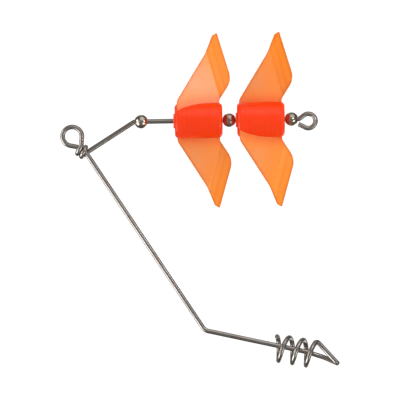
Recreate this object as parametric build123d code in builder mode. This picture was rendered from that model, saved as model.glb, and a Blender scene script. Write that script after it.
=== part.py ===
"""Inline spinner: two counter-rotating propellers on a bent spring wire with a screw-in lure holder.

Frame: millimetres. The origin is the centre of the line eye. +X runs along the propeller shaft from
its front bend to its end loop, +Z is up, and the wire lies in the XZ plane, apart from its coils. The
upper arm and the propeller shaft lie one wire behind (+Y) that plane, because the wraps leave them there.
"""
import math
import os

from build123d import *

# ---------------------------------------------------------------- wire
wire_diameter = 1.05
strand_gap = 0.05           # air between two neighbouring strands of the same wire
strand_spacing = wire_diameter + strand_gap
corner_share = 0.97         # how much of a polygon's side its rounded corners take up
coil_step = 60              # degrees of turn between two corners of a coil

# line eye, and the core that the wraps go round
eye_radius = 2.08
eye_first_angle = 256
eye_last_angle = -7
eye_corners = 4
core_slope = -38
wrap_turns = 1.5
wrap_start = (1.55, 0, -2.69)
core_top_bend = (0.99, 0, -2.26)
core_top_radius = 1.8
core_low_bend = (3.22, 0, -4.00)
core_low_radius = 2.6
wrap_entry_bend = (1.92, -strand_spacing, -2.05)
wrap_entry_radius = 1.4
eye_lean = 0.8              # how far the eye's strand moves forward round the loop, in strand spacings

# propeller shaft, its arm and its end loop
shaft_y = strand_spacing
shaft_z = 3.0
arm_start = (3.50, shaft_y, -3.27)
arm_start_radius = 1.5
shaft_bend_radius = 0.8
shaft_front_bend = (13.58, shaft_y, shaft_z)
shaft_rear_bend = (49.50, shaft_y, shaft_z)
end_loop_centre = (51.44, shaft_y, 2.52)
end_loop_radius = 1.55
end_loop_first_angle = 127
end_loop_last_angle = -117
end_loop_corners = 4
end_loop_tip = (49.27, shaft_y, 1.88)

# lower arm and screw-in holder
lower_bend = (28.10, 0, -42.65)
lower_bend_radius = 2.0
shank_bends = [(50.30, 0, -47.75), (54.00, 0, -49.00)]
shank_bend_radius = 12
screw_point = (56.80, 0, -50.28)
screw_radius = 2.65
screw_pitch = 3.06
screw_start = (43.22, 0.69, -46.67)
screw_slope = -10.5
screw_yaw = -8.5            # the coil's axis leans this far out of the wire's plane, towards -Y
screw_first_angle = 20
screw_corners = 17
hairpin_width = 1.20
hairpin_radius = 0.56
screw_top_radius = 0.7      # bend that takes the coil's last turn into the hairpin

# ---------------------------------------------------------------- beads
bead_diameter = 3.0
bead_bore = wire_diameter + 0.12
bead_bore_round = 0.10
bead_half_length = math.sqrt((bead_diameter / 2) ** 2 - (bead_bore / 2) ** 2)

# ---------------------------------------------------------------- propellers
hub_diameter = 7.6
hub_length = 10.4
hub_edge_round = 0.9
bush_diameter = 3.2
bush_bore = wire_diameter + 0.12
bush_collar = 0.3           # how far the bush stands out in front of the hub
bush_edge_round = 0.12
blade_thickness = 0.6
blade_pitch = 22            # angle between the blade's flat and the shaft's direction
blade_middle = 6.8          # distance behind the hub's front face where the flat crosses the shaft's axis
blade_root = 1.9            # how near the shaft's axis a blade starts, inside its hub
blade_edge_round = 0.12
blade_depth = 9
blade_reach = 24
flatness = 1e-6             # a cut face of the blade faces along Y by less than this
crease_top = (7.4, 14.5)    # along the shaft, and out from it
crease_slope = 0.267        # how far the crease runs back for each millimetre towards the hub
crease_angle = 32
crease_radius = 1.4

# ---------------------------------------------------------------- places along the shaft
stack_gap = 0.05
bead_front_x = 15.05
bead_rear_x = 47.75
propeller_length = bush_collar + hub_length
hub_rear_x = bead_rear_x - bead_half_length - stack_gap - hub_length
bead_middle_x = hub_rear_x - bush_collar - stack_gap - bead_half_length
hub_front_x = bead_middle_x - bead_half_length - stack_gap - hub_length


def rounded_turn(centre, first_axis, second_axis, radius, first_angle, last_angle, count, advance=(0, 0, 0)):
    """Corners of the polygon drawn round a circle; a coil's centre also moves by advance over the turn."""
    step = math.radians(last_angle - first_angle) / count
    reach = radius / math.cos(step / 2)
    corners = []
    for index in range(count):
        angle = math.radians(first_angle) + step * (index + 0.5)
        middle = Vector(centre) + Vector(advance) * ((index + 0.5) / count)
        spoke = Vector(first_axis) * math.cos(angle) + Vector(second_axis) * math.sin(angle)
        corners.append(middle + spoke * reach)
    return corners


def in_wire_plane(angle):
    """Direction in the wire's plane, by its angle above +X."""
    return Vector(math.cos(math.radians(angle)), 0, math.sin(math.radians(angle)))


# ---------------------------------------------------------------- wire frame
# The wire is followed from the cut end of the screw coil to the cut end of the end loop, as a list of
# corners, each with the radius of its bend.
towards_back = Vector(0, 1, 0)

screw_yaw_angle = math.radians(screw_yaw)
screw_axis = in_wire_plane(screw_slope) * math.cos(screw_yaw_angle) + towards_back * math.sin(screw_yaw_angle)
screw_up = in_wire_plane(screw_slope + 90)
screw_back = screw_up.cross(screw_axis)
screw_length = screw_axis * (screw_pitch * screw_corners * coil_step / 360)
screw_last_angle = screw_first_angle + screw_corners * coil_step
screw_coil = rounded_turn(
    screw_start, screw_up, screw_back, screw_radius,
    screw_first_angle, screw_last_angle, screw_corners, screw_length,
)
screw_start_angle = math.radians(screw_first_angle)
screw_end_spoke = screw_up * math.cos(screw_start_angle) + screw_back * math.sin(screw_start_angle)
screw_free_end = Vector(screw_start) + screw_end_spoke * screw_radius
screw_top_turn = rounded_turn(
    Vector(screw_start) + screw_length, screw_up, screw_back, screw_radius,
    screw_last_angle, screw_last_angle + coil_step, 1, screw_axis * (screw_pitch * coil_step / 360),
)
hairpin = [Vector(screw_point) - towards_back * hairpin_width, Vector(screw_point)]

eye_loop = rounded_turn(
    (0, 0, 0), (1, 0, 0), (0, 0, 1), eye_radius,
    eye_first_angle, eye_last_angle, eye_corners, towards_back * (-eye_lean * strand_spacing),
)
core_direction = in_wire_plane(core_slope)
wrap_coil = rounded_turn(
    wrap_start, towards_back * -1, in_wire_plane(core_slope - 90), strand_spacing,
    0, wrap_turns * 360, round(wrap_turns * 360 / coil_step),
    core_direction * (strand_spacing * wrap_turns),
)
end_loop = rounded_turn(
    end_loop_centre, (1, 0, 0), (0, 0, 1), end_loop_radius,
    end_loop_first_angle, end_loop_last_angle, end_loop_corners,
)

# each stretch of the wire: its corners, and the radius of the bend at each of them
stretches = [
    (screw_coil, corner_share * screw_radius),
    (screw_top_turn, screw_top_radius),
    (hairpin, hairpin_radius),
    (reversed(shank_bends), shank_bend_radius),
    ([lower_bend], lower_bend_radius),
    ([core_low_bend], core_low_radius),
    ([core_top_bend], core_top_radius),
    (eye_loop, corner_share * eye_radius),
    ([wrap_entry_bend], wrap_entry_radius),
    (wrap_coil, corner_share * strand_spacing),
    ([arm_start], arm_start_radius),
    ([shaft_front_bend], shaft_bend_radius),
    ([shaft_rear_bend], shaft_bend_radius),
    (end_loop, corner_share * end_loop_radius),
]
wire_corners = [screw_free_end]
bend_radii = []
for stretch_corners, bend_radius in stretches:
    for corner in stretch_corners:
        wire_corners.append(Vector(corner))
        bend_radii.append(bend_radius)
wire_corners.append(Vector(end_loop_tip))

with BuildPart() as wire_frame:
    with BuildLine() as wire_path:
        FilletPolyline(*wire_corners, radius=bend_radii)
    wire_start = Plane(origin=wire_path.wires()[0] @ 0, z_dir=wire_path.wires()[0] % 0)
    with BuildSketch(wire_start):
        Circle(wire_diameter / 2)
    sweep(path=wire_path.wires()[0])
wire_frame.part.label = "wire_frame"


# ---------------------------------------------------------------- beads
def shaft_plane(distance):
    """Plane across the shaft, looking along it, at a distance along X."""
    return Plane(origin=(distance, shaft_y, shaft_z), x_dir=(0, 1, 0), z_dir=(1, 0, 0))


def make_bead(label, distance):
    """Steel ball with a bore for the wire, its bore's edges rounded."""
    with BuildPart(shaft_plane(distance)) as bead:
        Sphere(bead_diameter / 2)
        Cylinder(bead_bore / 2, bead_diameter, mode=Mode.SUBTRACT)
        fillet(bead.edges().filter_by(GeomType.CIRCLE).group_by(SortBy.RADIUS)[0], bead_bore_round)
    bead.part.label = label
    return bead.part


bead_front = make_bead("bead_front", bead_front_x)
bead_middle = make_bead("bead_middle", bead_middle_x)
bead_rear = make_bead("bead_rear", bead_rear_x)


# ---------------------------------------------------------------- propellers
def make_bush(label, hub_x):
    """Tube pressed into a hub: its front end stands out as a collar, its rear end is flush."""
    with BuildPart(shaft_plane(hub_x - bush_collar)) as bush:
        with BuildSketch(shaft_plane(hub_x - bush_collar)):
            Circle(bush_diameter / 2)
            Circle(bush_bore / 2, mode=Mode.SUBTRACT)
        extrude(amount=propeller_length)
        fillet(bush.edges().group_by(Axis.X)[0], bush_edge_round)
    bush.part.label = label
    return bush.part


# One blade, on a shaft along X through the origin, with the hub's front face at X = 0. It is a bent
# sheet cut to the blade's outline: a flat, a crease, and a flap behind the crease that is bent further.
pitch_angle = math.radians(blade_pitch)
crease_lean = math.atan(crease_slope / math.cos(pitch_angle))
flat_direction = Vector(math.cos(pitch_angle), math.sin(pitch_angle), 0)
crease_across = flat_direction * math.cos(crease_lean) + Vector(0, 0, 1) * math.sin(crease_lean)
crease_along = flat_direction * math.sin(crease_lean) - Vector(0, 0, 1) * math.cos(crease_lean)
crease_origin = Vector(crease_top[0], (crease_top[0] - blade_middle) * math.tan(pitch_angle), crease_top[1])
sheet_plane = Plane(origin=crease_origin, x_dir=crease_across, z_dir=crease_along)
crease_setback = crease_radius * math.tan(math.radians(crease_angle / 2))
flap_direction = Vector(math.cos(math.radians(crease_angle)), -math.sin(math.radians(crease_angle)))

with BuildPart() as blade:
    with BuildSketch(Plane.XZ):
        with BuildLine():
            FilletPolyline(
                (0.50, blade_root), (0.50, 4.40), (6.88, 14.60), (8.42, 18.50), (9.48, 19.12),
                (12.54, 8.70), (9.80, 4.45), (9.80, blade_root),
                radius=[2.0, 8.0, 0.6, 0.22, 4.0, 1.0],
            )
            Line((9.80, blade_root), (0.50, blade_root))
        make_face()
    extrude(amount=blade_depth, both=True)
    with BuildSketch(sheet_plane):
        with BuildLine() as bent_sheet:
            FilletPolyline((-blade_reach, 0), (0, 0), flap_direction * blade_reach, radius=crease_radius)
            offset(amount=blade_thickness, side=Side.LEFT, closed=True)
        make_face()
    extrude(amount=blade_reach, both=True, mode=Mode.INTERSECT)
    cut_faces = blade.faces().filter_by(lambda face: abs(face.normal_at().Y) < flatness)
    sheet_faces = blade.faces() - cut_faces
    rim = cut_faces.edges() & sheet_faces.edges()
    fillet(rim.filter_by_position(Axis.Z, blade_root + blade_edge_round, blade_reach), blade_edge_round)


def make_propeller(label, hub_x, mirrored):
    """Hub with two blades half a turn apart; the mirrored one is pitched to turn the other way."""
    with BuildPart() as propeller:
        with BuildSketch(Plane.XZ):
            with Locations((hub_length / 2, hub_diameter / 4)):
                Rectangle(hub_length, hub_diameter / 2)
        revolve(axis=Axis.X)
        fillet(propeller.edges().filter_by(GeomType.CIRCLE), hub_edge_round)
        add(blade.part)
        add(blade.part.rotate(Axis.X, 180))
        with Locations(Plane(origin=(0, 0, 0), z_dir=(1, 0, 0))):
            Cylinder(bush_diameter / 2, 3 * hub_length, mode=Mode.SUBTRACT)
        if mirrored:
            mirror(about=Plane.XZ, mode=Mode.REPLACE)
    placed = propeller.part.translate((hub_x, shaft_y, shaft_z))
    placed.label = label
    return placed


propeller_front = make_propeller("propeller_front", hub_front_x, False)
propeller_rear = make_propeller("propeller_rear", hub_rear_x, True)
bush_front = make_bush("bush_front", hub_front_x)
bush_rear = make_bush("bush_rear", hub_rear_x)

# ---------------------------------------------------------------- files
os.makedirs("parts", exist_ok=True)
export_step(wire_frame.part, "parts/wire_frame.step")
for piece in (bead_front, bead_middle, bead_rear, propeller_front, propeller_rear, bush_front, bush_rear):
    export_step(piece, f"parts/{piece.label}.step")
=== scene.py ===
"""Looks of the inline spinner: drawn spring wire, polished steel beads and translucent orange propellers.

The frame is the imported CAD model: metres, the origin in the line eye, +X along the propeller shaft and
+Z up.
"""
import math

import bpy
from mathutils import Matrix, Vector


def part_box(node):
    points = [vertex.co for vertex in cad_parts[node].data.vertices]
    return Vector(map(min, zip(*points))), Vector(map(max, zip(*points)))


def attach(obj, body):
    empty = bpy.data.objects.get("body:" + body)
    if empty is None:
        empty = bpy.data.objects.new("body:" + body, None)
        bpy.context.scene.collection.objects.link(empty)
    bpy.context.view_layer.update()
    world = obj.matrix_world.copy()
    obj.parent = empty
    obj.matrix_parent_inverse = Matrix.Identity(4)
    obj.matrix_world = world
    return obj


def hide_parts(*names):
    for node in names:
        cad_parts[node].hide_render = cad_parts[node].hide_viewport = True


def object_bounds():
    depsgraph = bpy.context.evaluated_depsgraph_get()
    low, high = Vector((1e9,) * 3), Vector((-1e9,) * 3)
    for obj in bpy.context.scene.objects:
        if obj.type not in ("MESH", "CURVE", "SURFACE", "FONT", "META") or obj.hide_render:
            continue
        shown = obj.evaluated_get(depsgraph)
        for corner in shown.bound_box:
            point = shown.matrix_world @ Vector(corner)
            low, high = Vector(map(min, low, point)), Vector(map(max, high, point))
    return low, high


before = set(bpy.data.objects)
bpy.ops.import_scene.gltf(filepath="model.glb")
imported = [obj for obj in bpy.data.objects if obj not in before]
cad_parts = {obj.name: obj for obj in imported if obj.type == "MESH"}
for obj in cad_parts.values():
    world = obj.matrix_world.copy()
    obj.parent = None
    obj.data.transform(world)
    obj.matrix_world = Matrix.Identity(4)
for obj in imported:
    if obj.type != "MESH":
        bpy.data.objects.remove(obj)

cad_low, cad_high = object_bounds()
MM = 0.001

# ---------------------------------------------------------------- wire sizes, in millimetres
wire_radius = 0.525
strand_spacing = 1.10
corner_share = 0.97         # how much of a polygon's side its rounded corners take up
coil_step = 60              # degrees of turn between two corners of a coil

# line eye, and the core that the wraps go round
eye_radius = 2.08
eye_first_angle = 256
eye_last_angle = -7
eye_corners = 4
eye_lean = 0.8              # how far the eye's strand moves forward round the loop, in strand spacings
core_slope = -38
core_top_bend = Vector((0.99, 0, -2.26))
core_top_radius = 1.8
core_low_bend = Vector((3.22, 0, -4.00))
core_low_radius = 2.6
wrap_turns = 1.5
wrap_start = Vector((1.55, 0, -2.69))
wrap_entry_bend = Vector((1.92, -strand_spacing, -2.05))
wrap_entry_radius = 1.4

# propeller shaft, its arm and its end loop
shaft_y = strand_spacing
shaft_z = 3.0
arm_start = Vector((3.50, shaft_y, -3.27))
arm_start_radius = 1.5
shaft_bend_radius = 0.8
shaft_front_bend = Vector((13.58, shaft_y, shaft_z))
shaft_rear_bend = Vector((49.50, shaft_y, shaft_z))
end_loop_centre = Vector((51.44, shaft_y, 2.52))
end_loop_radius = 1.55
end_loop_first_angle = 127
end_loop_last_angle = -117
end_loop_corners = 4
end_loop_tip = Vector((49.27, shaft_y, 1.88))

# lower arm and screw-in holder
lower_bend = Vector((28.10, 0, -42.65))
lower_bend_radius = 2.0
shank_bends = [Vector((54.00, 0, -49.00)), Vector((50.30, 0, -47.75))]
shank_bend_radius = 12
screw_point = Vector((56.80, 0, -50.28))
screw_radius = 2.65
screw_pitch = 3.06
screw_start = Vector((43.22, 0.69, -46.67))
screw_slope = -10.5
screw_yaw = -8.5            # the coil's axis leans this far out of the wire's plane, towards -Y
screw_first_angle = 20
screw_corners = 17
screw_top_radius = 0.7      # bend that takes the coil's last turn into the hairpin
hairpin_width = 1.20
hairpin_radius = 0.56

# the tube's rings
ring_sides = 28             # points round the wire
ring_turn = 5.0             # degrees of bend between two rings
ring_run = 1.5              # longest straight run between two rings
shortest_run = 1e-4         # a straight run shorter than this is left out
end_round = 0.10            # rounding of the two cut ends
end_round_rings = 4

# ---------------------------------------------------------------- propeller sizes, in millimetres
hub_radius = 3.8
blade_pitch = 22            # degrees that a blade is turned about its own length

# points of the blade's plan: how far behind the hub's front face, and how far out from the shaft's axis
front_root = (0.50, 4.40)
front_bend = (6.88, 14.60)
front_top = (8.42, 18.50)
rear_top = (9.48, 19.12)
rear_bend = (12.54, 8.70)
rear_root = (9.80, 4.45)
crease_top = (7.4, 14.5)
crease_root = (11.27, 0)
front_rounding = 1.0        # how smoothly the front edge's two stretches meet
rear_rounding = 1.6         # the same for the rear edge


# ---------------------------------------------------------------- wire route
def in_wire_plane(angle):
    """Direction in the wire's plane, by its angle above +X in degrees."""
    return Vector((math.cos(math.radians(angle)), 0, math.sin(math.radians(angle))))


def turn_corners(centre, first_axis, second_axis, radius, first_angle, last_angle, count, advance=Vector()):
    """Corners of the polygon drawn round a circle; a coil's centre also moves by advance over the turn."""
    step = math.radians(last_angle - first_angle) / count
    reach = radius / math.cos(step / 2)
    corners = []
    for index in range(count):
        angle = math.radians(first_angle) + step * (index + 0.5)
        middle = centre + advance * ((index + 0.5) / count)
        corners.append(middle + (first_axis * math.cos(angle) + second_axis * math.sin(angle)) * reach)
    return corners


def screw_coil():
    """The holder's cut start, the corners of its coil, and those of the turn that leads to its point."""
    yaw = math.radians(screw_yaw)
    axis = in_wire_plane(screw_slope) * math.cos(yaw) + Vector((0, 1, 0)) * math.sin(yaw)
    up = in_wire_plane(screw_slope + 90)
    back = up.cross(axis)
    step_advance = axis * (screw_pitch * coil_step / 360)
    last_angle = screw_first_angle + screw_corners * coil_step
    first = math.radians(screw_first_angle)
    start = screw_start + (up * math.cos(first) + back * math.sin(first)) * screw_radius
    coil = turn_corners(
        screw_start, up, back, screw_radius,
        screw_first_angle, last_angle, screw_corners, step_advance * screw_corners,
    )
    top_turn = turn_corners(
        screw_start + step_advance * screw_corners, up, back, screw_radius,
        last_angle, last_angle + coil_step, 1, step_advance,
    )
    return start, coil, top_turn


def wire_route():
    """The wire's cut start, its corners with the radius of each bend, and its cut end."""
    right, back, up = Vector((1, 0, 0)), Vector((0, 1, 0)), Vector((0, 0, 1))
    start, coil, top_turn = screw_coil()
    eye_loop = turn_corners(
        Vector(), right, up, eye_radius,
        eye_first_angle, eye_last_angle, eye_corners, back * (-eye_lean * strand_spacing),
    )
    wraps = turn_corners(
        wrap_start, -back, in_wire_plane(core_slope - 90), strand_spacing,
        0, wrap_turns * 360, round(wrap_turns * 360 / coil_step),
        in_wire_plane(core_slope) * (strand_spacing * wrap_turns),
    )
    end_loop = turn_corners(
        end_loop_centre, right, up, end_loop_radius,
        end_loop_first_angle, end_loop_last_angle, end_loop_corners,
    )
    stretches = [
        (coil, corner_share * screw_radius),
        (top_turn, screw_top_radius),
        ([screw_point - back * hairpin_width, screw_point], hairpin_radius),
        (shank_bends, shank_bend_radius),
        ([lower_bend], lower_bend_radius),
        ([core_low_bend], core_low_radius),
        ([core_top_bend], core_top_radius),
        (eye_loop, corner_share * eye_radius),
        ([wrap_entry_bend], wrap_entry_radius),
        (wraps, corner_share * strand_spacing),
        ([arm_start], arm_start_radius),
        ([shaft_front_bend, shaft_rear_bend], shaft_bend_radius),
        (end_loop, corner_share * end_loop_radius),
    ]
    corners = [(corner, radius) for points, radius in stretches for corner in points]
    return start, corners, end_loop_tip


def smooth_line(start, corners, end):
    """Points and directions along straight runs joined by arcs."""
    line = []

    def run_to(target):
        previous, direction = line[-1]
        length = (target - previous).length
        steps = max(1, math.ceil(length / ring_run))
        for index in range(1, steps + 1):
            line.append((previous.lerp(target, index / steps), direction))

    places = [start] + [corner for corner, _ in corners] + [end]
    line.append((start, (places[1] - start).normalized()))
    for index, (corner, radius) in enumerate(corners, start=1):
        before = (corner - places[index - 1]).normalized()
        after = (places[index + 1] - corner).normalized()
        turn = before.angle(after)
        setback = radius * math.tan(turn / 2)
        inward = (after - before * before.dot(after)).normalized()
        arc_start = corner - before * setback
        if (arc_start - line[-1][0]).length > shortest_run:
            run_to(arc_start)
        centre = arc_start + inward * radius
        steps = max(1, math.ceil(math.degrees(turn) / ring_turn))
        for step in range(1, steps + 1):
            angle = turn * step / steps
            point = centre + (before * math.sin(angle) - inward * math.cos(angle)) * radius
            line.append((point, before * math.cos(angle) + inward * math.sin(angle)))
    run_to(end)
    return line


def wire_rings():
    """Centre, direction and radius of every ring of the tube, with the rounded cut ends."""
    line = smooth_line(*wire_route())
    first_point, first_direction = line[0]
    last_point, last_direction = line[-1]
    caps = []
    for step in range(end_round_rings):
        angle = math.pi / 2 * step / end_round_rings
        inset = end_round * (1 - math.cos(angle))
        caps.append((inset, wire_radius - end_round * (1 - math.sin(angle))))
    caps.append((end_round, wire_radius))
    start_caps = [(first_point + first_direction * inset, first_direction, radius) for inset, radius in caps]
    end_caps = [(last_point - last_direction * inset, last_direction, radius) for inset, radius in caps]
    body = [(point, direction, wire_radius) for point, direction in line[1:-1]]
    return start_caps + body + list(reversed(end_caps))


def make_wire():
    """The bent wire as one closed tube. Attribute drawn_wire holds each point's place on the straight wire
    that it was bent from, in millimetres: two coordinates across it and one along it."""
    rings = wire_rings()
    vertices, drawn, faces = [], [], []
    side = rings[0][1].orthogonal().normalized()
    along = 0.0
    previous_point, previous_direction, _ = rings[0]
    for point, direction, radius in rings:
        side = previous_direction.rotation_difference(direction) @ side
        side = (side - direction * side.dot(direction)).normalized()
        across = direction.cross(side)
        along += (point - previous_point).length
        previous_point, previous_direction = point, direction
        for index in range(ring_sides):
            angle = 2 * math.pi * index / ring_sides
            spoke = side * math.cos(angle) + across * math.sin(angle)
            vertices.append((point + spoke * radius) * MM)
            drawn.extend((math.cos(angle) * radius, math.sin(angle) * radius, along))
    for low in range(0, (len(rings) - 1) * ring_sides, ring_sides):
        high = low + ring_sides
        for index in range(ring_sides):
            following = (index + 1) % ring_sides
            faces.append((low + index, low + following, high + following, high + index))
    last_ring = (len(rings) - 1) * ring_sides
    faces.append(tuple(reversed(range(ring_sides))))
    faces.append(tuple(range(last_ring, last_ring + ring_sides)))

    mesh = bpy.data.meshes.new("spring_wire")
    mesh.from_pydata(vertices, [], faces)
    mesh.attributes.new("drawn_wire", "FLOAT_VECTOR", "POINT").data.foreach_set("vector", drawn)
    mesh.shade_smooth()
    for cut_end in (len(faces) - 1, len(faces) - 2):
        mesh.polygons[cut_end].use_smooth = False
    wire = bpy.data.objects.new("spring_wire", mesh)
    bpy.context.scene.collection.objects.link(wire)
    return wire


# ---------------------------------------------------------------- nodes
def fill_sockets(tree, sockets, values):
    """Gives each socket its value, which is a plain value or another node's output."""
    for socket, value in zip(sockets, values):
        if isinstance(value, bpy.types.NodeSocket):
            tree.links.new(value, socket)
        else:
            socket.default_value = value


def maths(tree, operation, *values):
    """Maths node; values are numbers or value outputs."""
    node = tree.nodes.new("ShaderNodeMath")
    node.operation = operation
    fill_sockets(tree, node.inputs, values)
    return node.outputs["Value"]


def vector_maths(tree, operation, *values):
    """Vector maths node itself; values are vectors or vector outputs."""
    node = tree.nodes.new("ShaderNodeVectorMath")
    node.operation = operation
    fill_sockets(tree, node.inputs, values)
    return node


def object_place(tree):
    """The object's own coordinates, in metres."""
    return tree.nodes.new("ShaderNodeTexCoord").outputs["Object"]


def stretched(tree, coordinates, factors):
    """Coordinates scaled by a factor on each axis."""
    mapping = tree.nodes.new("ShaderNodeMapping")
    mapping.inputs["Scale"].default_value = factors
    tree.links.new(coordinates, mapping.inputs["Vector"])
    return mapping.outputs["Vector"]


def noise(tree, coordinates, scale, detail=3.0):
    """Noise over coordinates."""
    texture = tree.nodes.new("ShaderNodeTexNoise")
    texture.inputs["Scale"].default_value = scale
    texture.inputs["Detail"].default_value = detail
    tree.links.new(coordinates, texture.inputs["Vector"])
    return texture.outputs["Fac"]


def noise_along(tree, value, scale):
    """Noise along one value."""
    texture = tree.nodes.new("ShaderNodeTexNoise")
    texture.noise_dimensions = "1D"
    texture.inputs["Scale"].default_value = scale
    tree.links.new(value, texture.inputs["W"])
    return texture.outputs["Fac"]


def ranged(tree, value, source, result=(0, 1)):
    """Value mapped smoothly from the source range to the result range."""
    node = tree.nodes.new("ShaderNodeMapRange")
    node.interpolation_type = "SMOOTHSTEP"
    node.inputs["From Min"].default_value, node.inputs["From Max"].default_value = source
    node.inputs["To Min"].default_value, node.inputs["To Max"].default_value = result
    tree.links.new(value, node.inputs["Value"])
    return node.outputs["Result"]


def band(tree, value, span, blur, strength):
    """Strength where the value lies in the span, fading to zero over blur on both sides."""
    low, high = span
    rising = ranged(tree, value, (low - blur, low), (0, strength))
    return maths(tree, "MULTIPLY", rising, ranged(tree, value, (high, high + blur), (1, 0)))


def mixed(tree, factor, first, second):
    """Colour mix; first and second are colours or colour outputs."""
    node = tree.nodes.new("ShaderNodeMix")
    node.data_type = "RGBA"
    tree.links.new(factor, node.inputs["Factor"])
    sockets = [socket for socket in node.inputs if socket.type == "RGBA"]
    values = [(*colour, 1) if isinstance(colour, tuple) else colour for colour in (first, second)]
    fill_sockets(tree, sockets, values)
    return next(socket for socket in node.outputs if socket.type == "RGBA")


# ---------------------------------------------------------------- materials
def new_material(name):
    """A node material with one Principled shader; returns the material, its node tree and its shader."""
    material = bpy.data.materials.new(name)
    material.use_nodes = True
    return material, material.node_tree, material.node_tree.nodes["Principled BSDF"]


def set_surface(tree, shader, colour, roughness, height, depth):
    """Links a colour, a roughness and a relief to the shader; depth is the relief's height in metres."""
    bump = tree.nodes.new("ShaderNodeBump")
    bump.inputs["Strength"].default_value = 1
    bump.inputs["Distance"].default_value = depth
    tree.links.new(height, bump.inputs["Height"])
    tree.links.new(colour, shader.inputs["Base Color"])
    tree.links.new(roughness, shader.inputs["Roughness"])
    tree.links.new(bump.outputs["Normal"], shader.inputs["Normal"])


def wire_material():
    """Bright drawn spring wire: fine lines along it, and a faint brown tint in patches."""
    clean, tinted, dark = (0.42, 0.41, 0.39), (0.36, 0.31, 0.28), (0.24, 0.22, 0.20)
    material, tree, shader = new_material("drawn_spring_wire")
    attribute = tree.nodes.new("ShaderNodeAttribute")
    attribute.attribute_name = "drawn_wire"
    place = attribute.outputs["Vector"]
    lines = noise(tree, stretched(tree, place, (1, 1, 0.008)), scale=9.0, detail=1.5)
    patches = noise(tree, stretched(tree, place, (1, 1, 0.35)), scale=0.9)
    colour = mixed(tree, ranged(tree, patches, (0.38, 0.66)), clean, tinted)
    colour = mixed(tree, ranged(tree, lines, (0.30, 0.55), (1, 0)), colour, dark)
    set_surface(tree, shader, colour, ranged(tree, lines, (0.3, 0.7), (0.36, 0.26)), lines, 0.003 * MM)
    shader.inputs["Metallic"].default_value = 1
    return material


def bead_material():
    """Polished steel ball: fine scratches, and a warm tint."""
    tinted, clean = (0.42, 0.36, 0.30), (0.54, 0.50, 0.45)
    material, tree, shader = new_material("polished_steel_bead")
    place = object_place(tree)
    scratches = noise(tree, stretched(tree, place, (0.25, 1, 1)), scale=4500, detail=5.0)
    smears = noise(tree, place, scale=900)
    colour = mixed(tree, ranged(tree, smears, (0.35, 0.65)), tinted, clean)
    roughness = ranged(tree, smears, (0.3, 0.7), (0.08, 0.16))
    set_surface(tree, shader, colour, roughness, scratches, 0.0015 * MM)
    shader.inputs["Metallic"].default_value = 1
    return material


def propeller_places(tree, place, hub_front):
    """Where a place lies on its propeller, in millimetres: how far behind the hub's front face, how far from
    the shaft's axis, and the blade's plan, a vector of the first and of how far above or below the axis."""
    shaft_at_hub = (hub_front, shaft_y * MM, shaft_z * MM)
    offset = vector_maths(tree, "SUBTRACT", place, shaft_at_hub).outputs["Vector"]
    offset = vector_maths(tree, "MULTIPLY", offset, (1 / MM, 1 / MM, 1 / MM)).outputs["Vector"]
    parts = tree.nodes.new("ShaderNodeSeparateXYZ")
    tree.links.new(offset, parts.inputs["Vector"])
    behind = parts.outputs["X"]
    across = vector_maths(tree, "MULTIPLY", offset, (0, 1, 1)).outputs["Vector"]
    from_axis = vector_maths(tree, "LENGTH", across).outputs["Value"]
    plan = tree.nodes.new("ShaderNodeCombineXYZ")
    tree.links.new(behind, plan.inputs["X"])
    tree.links.new(maths(tree, "ABSOLUTE", parts.outputs["Z"]), plan.inputs["Y"])
    return behind, from_axis, plan.outputs["Vector"]


def right_of_line(tree, plan, first, second):
    """How far a place in the blade's plan lies to the right of the line from first to second."""
    along = (Vector(second) - Vector(first)).normalized()
    right = Vector((along.y, -along.x, 0))
    reach = vector_maths(tree, "DOT_PRODUCT", plan, right).outputs["Value"]
    return maths(tree, "SUBTRACT", reach, right.dot(Vector((*first, 0))))


def distance_from_edge(tree, plan):
    """How far a place in the blade's plan lies inside the blade's outline."""
    front_edge = maths(
        tree, "SMOOTH_MAX", right_of_line(tree, plan, front_root, front_bend),
        right_of_line(tree, plan, front_bend, front_top), front_rounding,
    )
    rear_edge = maths(
        tree, "SMOOTH_MIN", right_of_line(tree, plan, rear_top, rear_bend),
        right_of_line(tree, plan, rear_bend, rear_root), rear_rounding,
    )
    return maths(tree, "MINIMUM", front_edge, rear_edge)


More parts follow.
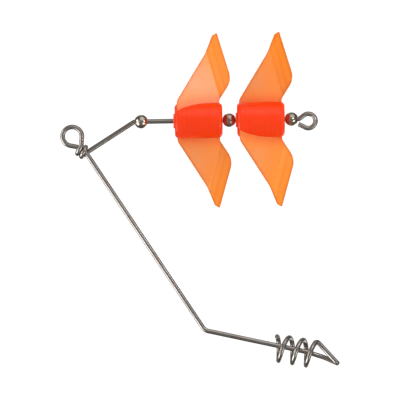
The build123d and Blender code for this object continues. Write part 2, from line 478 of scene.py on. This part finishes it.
def blade_colour(tree, place, from_axis, plan):
    """Light orange: paler towards the front edge, partly thinner plastic and partly a painted sheen for the
    flat's reflection; streaked beside the crease, with a painted highlight and painted shade along the
    crease's bend;
    a painted shade along the outline; and darker at the root."""
    # The peach colour is partly the thinner plastic's own paler tone and partly a painted sheen for the
    # reflection on the blade's flat.
    inner, outer, pale_and_sheen = (0.93, 0.285, 0.036), (0.97, 0.29, 0.014), (0.79, 0.33, 0.135)
    streak, speck = (0.95, 0.23, 0.02), (0.90, 0.30, 0.12)
    # The two band colours are a painted highlight and a painted shade along the crease's bend.
    painted_bend_highlight, painted_bend_shade = (0.95, 0.36, 0.08), (0.88, 0.20, 0.02)
    # The outline colour is a painted shade along the blade's edge.
    outline, root = (0.74, 0.19, 0.018), (0.95, 0.14, 0.02)

    behind_crease = maths(tree, "MULTIPLY", right_of_line(tree, plan, crease_top, crease_root), -1)
    cloud = noise(tree, place, scale=300)
    specks = noise(tree, place, scale=2400, detail=1.0)
    streaks = noise_along(tree, behind_crease, scale=1.6)
    # Paler towards the front edge: partly thinner plastic, partly painted sheen.
    pale_and_sheen_share = ranged(tree, behind_crease, (-5.5, 1.0), (0.50, 0.05))
    pale_and_sheen_share = maths(tree, "MULTIPLY", pale_and_sheen_share, ranged(tree, cloud, (0.3, 0.7), (0.7, 1.2)))
    pale_and_sheen_share = maths(tree, "MULTIPLY", pale_and_sheen_share, ranged(tree, from_axis, (4.5, 9), (0.4, 1.2)))
    layers = [
        (pale_and_sheen_share, pale_and_sheen),
        (ranged(tree, streaks, (0.50, 0.75), (0, 0.45)), streak),
        (ranged(tree, specks, (0.55, 0.8), (0, 0.3)), speck),
        # Painted highlight, then painted shade, in bands along the crease's bend.
        (band(tree, behind_crease, (0.5, 1.1), blur=0.3, strength=0.35), painted_bend_highlight),
        (band(tree, behind_crease, (1.5, 1.8), blur=0.25, strength=0.30), painted_bend_shade),
        # Painted shade along the outline.
        (ranged(tree, distance_from_edge(tree, plan), (0.15, 0.70), (0.8, 0)), outline),
        (ranged(tree, from_axis, (4.0, 6.5), (0.5, 0)), root),
    ]
    colour = mixed(tree, ranged(tree, from_axis, (6, 19)), inner, outer)
    for share, layer in layers:
        colour = mixed(tree, share, colour, layer)
    return colour


def hub_colour(tree, place, behind):
    """Deep orange red, with faint clouds and fine rings round the axis."""
    first, second, ring = (0.98, 0.048, 0.0005), (0.97, 0.058, 0.0005), (0.94, 0.038, 0.0005)
    colour = mixed(tree, ranged(tree, noise(tree, place, scale=300), (0.25, 0.75)), first, second)
    rings = noise_along(tree, behind, scale=2.6)
    return mixed(tree, ranged(tree, rings, (0.35, 0.65), (0, 0.6)), colour, ring)


def propeller_material(name, hub_front):
    """Translucent fluorescent plastic: deep orange red in the thick hub, lighter orange in the thin blades.
    hub_front is the X of the hub's front face, in metres."""
    material, tree, shader = new_material(name)
    place = object_place(tree)
    behind, from_axis, plan = propeller_places(tree, place, hub_front)
    in_blade = ranged(tree, from_axis, (hub_radius + 0.02, hub_radius + 0.15))
    hub, blade = hub_colour(tree, place, behind), blade_colour(tree, place, from_axis, plan)
    waves = noise(tree, place, scale=170, detail=1.0)
    roughness = ranged(tree, waves, (0.2, 0.8), (0.20, 0.27))
    set_surface(tree, shader, mixed(tree, in_blade, hub, blade), roughness, waves, 0.03 * MM)
    shader.inputs["IOR"].default_value = 1.49
    shader.inputs["Transmission Weight"].default_value = 0.30
    shader.inputs["Specular IOR Level"].default_value = 0.22
    shader.inputs["Subsurface Weight"].default_value = 0.3
    shader.inputs["Subsurface Radius"].default_value = (1.0, 0.45, 0.15)
    shader.inputs["Subsurface Scale"].default_value = 0.7 * MM
    return material


def bush_material():
    """Deeper orange tube with faint rings, which turns with its hub."""
    dark, light = (0.85, 0.045, 0.008), (0.95, 0.07, 0.012)
    material, tree, shader = new_material("orange_bush")
    rings = noise(tree, stretched(tree, object_place(tree), (1, 0.1, 0.1)), scale=6000, detail=2.0)
    colour = mixed(tree, ranged(tree, rings, (0.35, 0.65)), dark, light)
    set_surface(tree, shader, colour, ranged(tree, rings, (0.3, 0.7), (0.25, 0.4)), rings, 0.004 * MM)
    return material


def floor_material(radius):
    """Plain white board whose edge fades out."""
    dark, light = (0.86, 0.86, 0.86), (0.89, 0.89, 0.89)
    material, tree, shader = new_material("white_board")
    place = object_place(tree)
    from_middle = vector_maths(tree, "LENGTH", place).outputs["Value"]
    fibres = noise(tree, place, scale=900)
    tree.links.new(mixed(tree, ranged(tree, fibres, (0.3, 0.7)), dark, light), shader.inputs["Base Color"])
    fade = ranged(tree, from_middle, (radius * 0.55, radius * 0.98), (1, 0))
    tree.links.new(fade, shader.inputs["Alpha"])
    shader.inputs["Roughness"].default_value = 0.8
    return material


# ---------------------------------------------------------------- pieces
def paint(node_name, material):
    """Gives every material slot of a CAD node this material."""
    for material_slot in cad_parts[node_name].material_slots:
        material_slot.material = material


wire = make_wire()
wire.data.materials.append(wire_material())
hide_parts("wire_frame")
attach(wire, "frame")

bead_steel = bead_material()
orange_bush = bush_material()
for bead_name in ("bead_front", "bead_middle", "bead_rear"):
    paint(bead_name, bead_steel)
for propeller_name in ("propeller_front", "propeller_rear"):
    hub_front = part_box(propeller_name)[0].x
    paint(propeller_name, propeller_material(propeller_name + "_orange_plastic", hub_front))
for bush_name in ("bush_front", "bush_rear"):
    paint(bush_name, orange_bush)

# ---------------------------------------------------------------- floor
centre = (cad_low + cad_high) / 2
size = cad_high - cad_low
floor_drop = 0.42 * size.z
floor_radius = 3.0 * size.z
floor_sides = 96


def make_floor():
    """Round board below the object, which glossy rays don't see."""
    rim = []
    for index in range(floor_sides):
        angle = 2 * math.pi * index / floor_sides
        rim.append((floor_radius * math.cos(angle), floor_radius * math.sin(angle), 0))
    mesh = bpy.data.meshes.new("floor")
    mesh.from_pydata(rim, [], [tuple(range(floor_sides))])
    mesh.materials.append(floor_material(floor_radius))
    floor = bpy.data.objects.new("floor", mesh)
    floor.location = (centre.x, centre.y, cad_low.z - floor_drop)
    floor.visible_glossy = False
    bpy.context.scene.collection.objects.link(floor)
    return floor


floor = make_floor()

# ---------------------------------------------------------------- light
# What reflections show is a dim studio with soft bright patches. Each patch is a direction, the half angles
# where it is full and where it ends, a colour and a strength. Anything else that sees the world sees white.
studio_colour = (0.13, 0.125, 0.12)
seen_strength = 1.12
patches = [
    ((0, -1, 0), 30, 110, (1, 0.96, 0.92), 0.16),            # room in front
    ((0.30, -0.50, 0.81), 20, 44, (1, 0.98, 0.96), 0.80),    # overhead
    ((-0.82, -0.27, -0.50), 19, 27, (1, 0.99, 0.97), 4.0),   # low left
    ((-0.93, -0.25, 0.27), 10, 18, (1, 0.99, 0.97), 3.5),    # left
    ((-0.70, -0.71, 0.06), 9, 20, (1, 0.99, 0.97), 0.9),     # front left
    ((0.66, -0.55, -0.51), 13, 19, (1, 0.96, 0.92), 2.6),    # low right
    ((0, 1, 0), 20, 60, (1, 0.96, 0.92), 0.30),              # room behind
    ((-0.20, 0.75, 0.63), 14, 26, (1, 0.98, 0.96), 0.45),    # overhead, behind
    ((0.45, 0.80, -0.40), 10, 20, (1, 0.99, 0.97), 1.50),    # low, behind
]


def make_world():
    """Sets the world to the studio and its patches."""
    world = bpy.data.worlds.new("studio")
    bpy.context.scene.world = world
    world.use_nodes = True
    tree = world.node_tree
    tree.nodes.clear()
    direction = tree.nodes.new("ShaderNodeTexCoord").outputs["Generated"]
    total = studio_colour
    for patch_direction, full_angle, end_angle, patch_colour, strength in patches:
        facing = vector_maths(tree, "DOT_PRODUCT", direction, Vector(patch_direction).normalized())
        edge = (math.cos(math.radians(end_angle)), math.cos(math.radians(full_angle)))
        patch = vector_maths(tree, "SCALE", patch_colour)
        tree.links.new(ranged(tree, facing.outputs["Value"], edge, (0, strength)), patch.inputs["Scale"])
        total = vector_maths(tree, "ADD", patch.outputs["Vector"], total).outputs["Vector"]
    lighting = tree.nodes.new("ShaderNodeBackground")
    tree.links.new(total, lighting.inputs["Color"])
    seen = tree.nodes.new("ShaderNodeBackground")
    seen.inputs["Color"].default_value = (1, 1, 1, 1)
    seen.inputs["Strength"].default_value = seen_strength
    ray = tree.nodes.new("ShaderNodeLightPath")
    reflected = maths(tree, "SUBTRACT", ray.outputs["Is Glossy Ray"], ray.outputs["Is Transmission Ray"])
    reflected.node.use_clamp = True
    choice = tree.nodes.new("ShaderNodeMixShader")
    fill_sockets(tree, choice.inputs, (reflected, seen.outputs["Background"], lighting.outputs["Background"]))
    output = tree.nodes.new("ShaderNodeOutputWorld")
    tree.links.new(choice.outputs["Shader"], output.inputs["Surface"])


def area_light(name, place, target, side, power):
    """Square lamp at a place, facing a target."""
    data = bpy.data.lights.new(name, "AREA")
    data.shape = "SQUARE"
    data.size = side
    data.energy = power
    lamp = bpy.data.objects.new(name, data)
    lamp.location = place
    lamp.rotation_mode = "QUATERNION"
    lamp.rotation_quaternion = (target - place).to_track_quat("-Z", "Y")
    bpy.context.scene.collection.objects.link(lamp)
    return lamp


make_world()

# soft lamps that reflections don't show: a name, a place from the object's centre, a side and a power
studio_lamps = [
    ("key_light", (0.10, -0.25, 0.35), 0.20, 0.25),
    ("fill_light", (0.05, -0.30, -0.30), 0.20, 0.45),
    ("left_light", (-0.25, 0.06, 0.16), 0.15, 0.2),
    ("right_light", (0.25, 0.06, 0.16), 0.15, 0.2),
]
for lamp_name, lamp_offset, lamp_side, lamp_power in studio_lamps:
    studio_lamp = area_light(lamp_name, centre + Vector(lamp_offset), centre, lamp_side, lamp_power)
    studio_lamp.visible_glossy = False

# a small lamp at the front right, whose reflection in the front propeller's upper blade shows from the front
blade_lamp_distance = 70 * MM
blade_lamp_side = 11 * MM
blade_lamp_power = 0.0055
lit_place_ahead = 1.5 * MM      # from the propeller's middle
lit_place_up = 9 * MM           # from the shaft's axis
propeller_low, propeller_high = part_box("propeller_front")
propeller_middle = (propeller_low.x + propeller_high.x) / 2
lit_place = Vector((propeller_middle - lit_place_ahead, shaft_y * MM, shaft_z * MM + lit_place_up))
reflection_angle = 2 * math.radians(blade_pitch)
to_lamp = Vector((math.sin(reflection_angle), -math.cos(reflection_angle), 0))
area_light(
    "blade_lamp", lit_place + to_lamp * blade_lamp_distance, lit_place, blade_lamp_side, blade_lamp_power,
)

# ---------------------------------------------------------------- camera
view_width = 1.19 * size.z
view_shift = Vector((0.2, 0, 0.3)) * MM
camera_roll = 1.0               # degrees

camera_data = bpy.data.cameras.new("camera")
camera_data.lens = 1200
camera_data.sensor_width = 36
camera_data.clip_end = 10
distance = view_width * camera_data.lens / camera_data.sensor_width
camera = bpy.data.objects.new("camera", camera_data)
camera.location = centre + view_shift - Vector((0, distance, 0))
camera.rotation_euler = (math.radians(90), math.radians(camera_roll), 0)
bpy.context.scene.collection.objects.link(camera)
bpy.context.scene.camera = camera
bpy.context.scene.view_settings.view_transform = "Standard"
